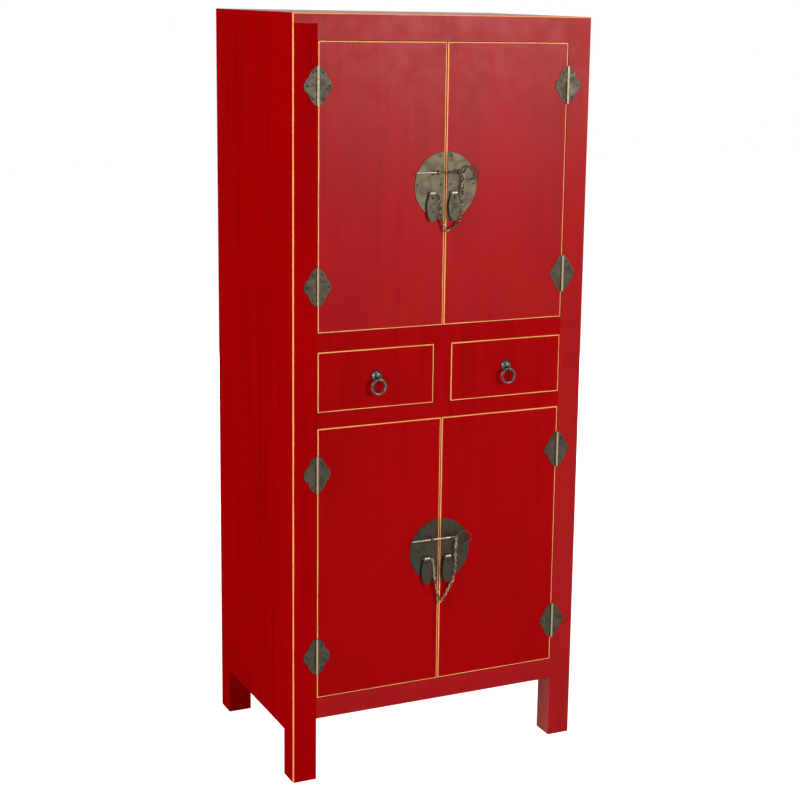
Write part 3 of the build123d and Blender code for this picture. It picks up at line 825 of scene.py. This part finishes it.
def chain_tree():
    """Geometry Nodes: oval links along a curve, each turned against the one before."""
    tree, start = open_tree("Chain links", (("Link Length", "Float"), ("Link Width", "Float"),
                                            ("Wire Radius", "Float"), ("Seed", "Int")))

    def compute(operation, first, second):
        return math_node(tree, operation, first, second)

    wire_across = compute("MULTIPLY", start["Wire Radius"], 2.0)
    middle_length = compute("SUBTRACT", start["Link Length"], wire_across)
    middle_width = compute("SUBTRACT", start["Link Width"], wire_across)
    oval = add_node(tree, "GeometryNodeCurvePrimitiveCircle", {"Resolution": 14, "Radius": 0.5},
                    mode="RADIUS")
    stretch = add_node(tree, "ShaderNodeCombineXYZ", {"Z": 1.0}, {"X": middle_length, "Y": middle_width})
    shaped = add_node(tree, "GeometryNodeTransform",
                      links={"Geometry": oval.outputs["Curve"], "Scale": stretch.outputs["Vector"]})
    section = add_node(tree, "GeometryNodeCurvePrimitiveCircle", {"Resolution": 7}, mode="RADIUS",
                       links={"Radius": start["Wire Radius"]})
    link = add_node(tree, "GeometryNodeCurveToMesh",
                    links={"Curve": shaped.outputs["Geometry"], "Profile Curve": section.outputs["Curve"]})
    pitch = compute("SUBTRACT", middle_length, wire_across)
    spaced = add_node(tree, "GeometryNodeResampleCurve", mode="LENGTH",
                      links={"Curve": start["Geometry"], "Length": pitch})
    along = add_node(tree, "GeometryNodeInputTangent")
    aimed = add_node(tree, "FunctionNodeAlignRotationToVector", axis="X",
                     links={"Vector": along.outputs["Tangent"]})
    index = add_node(tree, "GeometryNodeInputIndex")
    parity = compute("MODULO", index.outputs["Index"], 2.0)
    # The node's float range is in its sockets 2 and 3, and its float value in output 1
    uneven = add_node(tree, "FunctionNodeRandomValue", data_type="FLOAT", links={"Seed": start["Seed"]})
    uneven.inputs[2].default_value = -UNEVEN_TWIST
    uneven.inputs[3].default_value = UNEVEN_TWIST
    turn = compute("ADD", compute("MULTIPLY", parity, math.pi / 2), uneven.outputs[1])
    turn = compute("ADD", turn, math.pi / 4)
    twist = add_node(tree, "FunctionNodeAxisAngleToRotation", {"Axis": (1.0, 0.0, 0.0)}, {"Angle": turn})
    turned = add_node(tree, "FunctionNodeRotateRotation", rotation_space="LOCAL",
                      links={"Rotation": aimed.outputs["Rotation"], "Rotate By": twist.outputs["Rotation"]})
    placed = add_node(tree, "GeometryNodeInstanceOnPoints",
                      links={"Points": spaced.outputs["Curve"], "Instance": link.outputs["Mesh"],
                             "Rotation": turned.outputs["Rotation"]})
    close_tree(tree, placed.outputs["Instances"], start["Material"])
    return tree


class CABINET_OT_chains(bpy.types.Operator):
    """Hang the safety chains, link by link"""

    bl_idname = "cabinet.chains"
    bl_label = "Chains"

    def execute(self, context):
        brass = settings("brass")
        tree = chain_tree()
        values = {"Link Length": brass.link_length, "Link Width": brass.link_width,
                  "Wire Radius": brass.link_wire, "Seed": brass.twist_seed}
        for level in LEVELS:
            values["Material"] = metal(f"{level}_link_metal")
            door_low, door_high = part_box(f"{level}_left_door_panel")
            middle = (door_low.z + door_high.z) / 2
            for side in SIDES:
                node = f"{level}_chain_{side}"
                low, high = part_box(node)
                depth = (low.y + high.y) / 2
                foot = (CHAIN_FOOT[side], (low.z - middle) / MM + brass.link_width / 2 / MM)
                points = [(x * MM, depth, middle + z * MM) for x, z in (*CHAIN_ROUTES[side], foot)]
                line = smooth_line(f"{node}_line", points)
                links = settled(line, tree, values)
                bpy.data.objects.remove(line)
                piece = new_piece(f"{node}_links", links)
                stand_in(piece, node)
        return {"FINISHED"}


# ---------------------------------------------------------------- stage


def area_light(name, place, aim, size, energy):
    """A soft rectangular lamp at place that shines at aim."""
    lamp = bpy.data.lights.new(name, "AREA")
    lamp.shape = "RECTANGLE"
    lamp.size, lamp.size_y = size
    lamp.energy = energy
    holder = bpy.data.objects.new(name, lamp)
    holder.location = place
    holder.rotation_euler = (Vector(aim) - Vector(place)).to_track_quat("-Z", "Y").to_euler()
    bpy.context.scene.collection.objects.link(holder)


def backdrop_material():
    """Pale floor that shows white to the camera and in reflections and keeps the shadow."""
    shade = Shading("pale_floor")
    tree = shade.tree
    glow = add_node(tree, "ShaderNodeEmission", {"Color": (1, 1, 1, 1), "Strength": FLOOR_GLOW})
    colour = shade.mix(shade.noise(30.0, detail=2.0), (0.80, 0.80, 0.80), (0.84, 0.84, 0.84))
    shade.give(Base_Color=colour, Roughness=0.9)
    both = add_node(tree, "ShaderNodeAddShader")
    tree.links.new(shade.shader.outputs[0], both.inputs[0])
    tree.links.new(glow.outputs[0], both.inputs[1])
    pick = add_node(tree, "ShaderNodeMixShader", links={"Fac": in_sight(tree)})
    tree.links.new(shade.shader.outputs[0], pick.inputs[1])
    tree.links.new(both.outputs[0], pick.inputs[2])
    tree.links.new(pick.outputs[0], tree.nodes["Material Output"].inputs["Surface"])
    return shade.material


class CABINET_OT_stage(bpy.types.Operator):
    """Set up the floor, the lights, the world and the camera"""

    bl_idname = "cabinet.stage"
    bl_label = "Stage"

    def execute(self, context):
        stage = settings("stage")
        scene = context.scene
        scene.view_settings.view_transform = "Standard"

        floor_mesh = bpy.data.meshes.new("floor")
        low, high = -FLOOR_REACH, FLOOR_REACH
        corners = [(low, low, 0), (high, low, 0), (high, high, 0), (low, high, 0)]
        floor_mesh.from_pydata(corners, [], [(0, 1, 2, 3)])
        floor = new_piece("floor", floor_mesh)
        only_material(floor, backdrop_material())

        world = bpy.data.worlds.new("studio")
        scene.world = world
        world.use_nodes = True
        tree = world.node_tree
        background = tree.nodes["Background"]
        strength = add_node(tree, "ShaderNodeMapRange", {"To Min": WORLD_FILL, "To Max": 1.0},
                            {"Value": in_sight(tree)})
        background.inputs["Color"].default_value = (1.0, 1.0, 1.0, 1.0)
        tree.links.new(strength.outputs["Result"], background.inputs["Strength"])

        for name, (place, aim, size, energy) in LAMPS.items():
            area_light(name, place, aim, size, energy)

        lens = bpy.data.cameras.new("camera")
        lens.lens = stage.lens
        lens.sensor_width = SENSOR_WIDTH
        lens.shift_x, lens.shift_y = stage.shift
        lens.clip_end = CLIP_END
        camera = bpy.data.objects.new("camera", lens)
        camera.location = stage.camera_place
        level = Euler((math.pi / 2 - stage.camera_pitch, 0.0, -stage.camera_yaw), "XYZ").to_matrix()
        roll = Euler((0.0, 0.0, stage.camera_roll), "XYZ").to_matrix()
        camera.rotation_euler = (level @ roll).to_euler()
        scene.collection.objects.link(camera)
        scene.camera = camera
        return {"FINISHED"}


# ---------------------------------------------------------------- add-on


OPERATORS = (CABINET_OT_stage, CABINET_OT_lacquer, CABINET_OT_inner_wood, CABINET_OT_hinges,
             CABINET_OT_lock_plates, CABINET_OT_latches, CABINET_OT_drawer_pulls, CABINET_OT_nails,
             CABINET_OT_chains)
GROUPS = {"lacquer": LacquerSettings, "brass": BrassSettings, "stage": StageSettings}


class CABINET_PT_panel(bpy.types.Panel):
    """The cabinet's settings and steps"""

    bl_idname = "CABINET_PT_panel"
    bl_label = "Wedding Cabinet"
    bl_space_type = "VIEW_3D"
    bl_region_type = "UI"
    bl_category = "Cabinet"

    def draw(self, context):
        for name, group in GROUPS.items():
            box = self.layout.box()
            box.label(text=group.__doc__)
            for key in group.__annotations__:
                box.prop(settings(name), key)
        for operator in OPERATORS:
            self.layout.operator(operator.bl_idname)


def register():
    """Adds the settings, operators and panel."""
    for group in GROUPS.values():
        bpy.utils.register_class(group)
    for name, group in GROUPS.items():
        setattr(bpy.types.Scene, f"cabinet_{name}", PointerProperty(type=group))
    for cls in (*OPERATORS, CABINET_PT_panel):
        bpy.utils.register_class(cls)


def unregister():
    """Removes what register added."""
    for cls in reversed((*OPERATORS, CABINET_PT_panel)):
        bpy.utils.unregister_class(cls)
    for name in GROUPS:
        delattr(bpy.types.Scene, f"cabinet_{name}")
    for group in reversed(tuple(GROUPS.values())):
        bpy.utils.unregister_class(group)


def main():
    """Builds every piece."""
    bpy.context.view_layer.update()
    register()
    for operator in OPERATORS:
        group, name = operator.bl_idname.split(".")
        getattr(getattr(bpy.ops, group), name)()


if __name__ == "__main__":
    main()
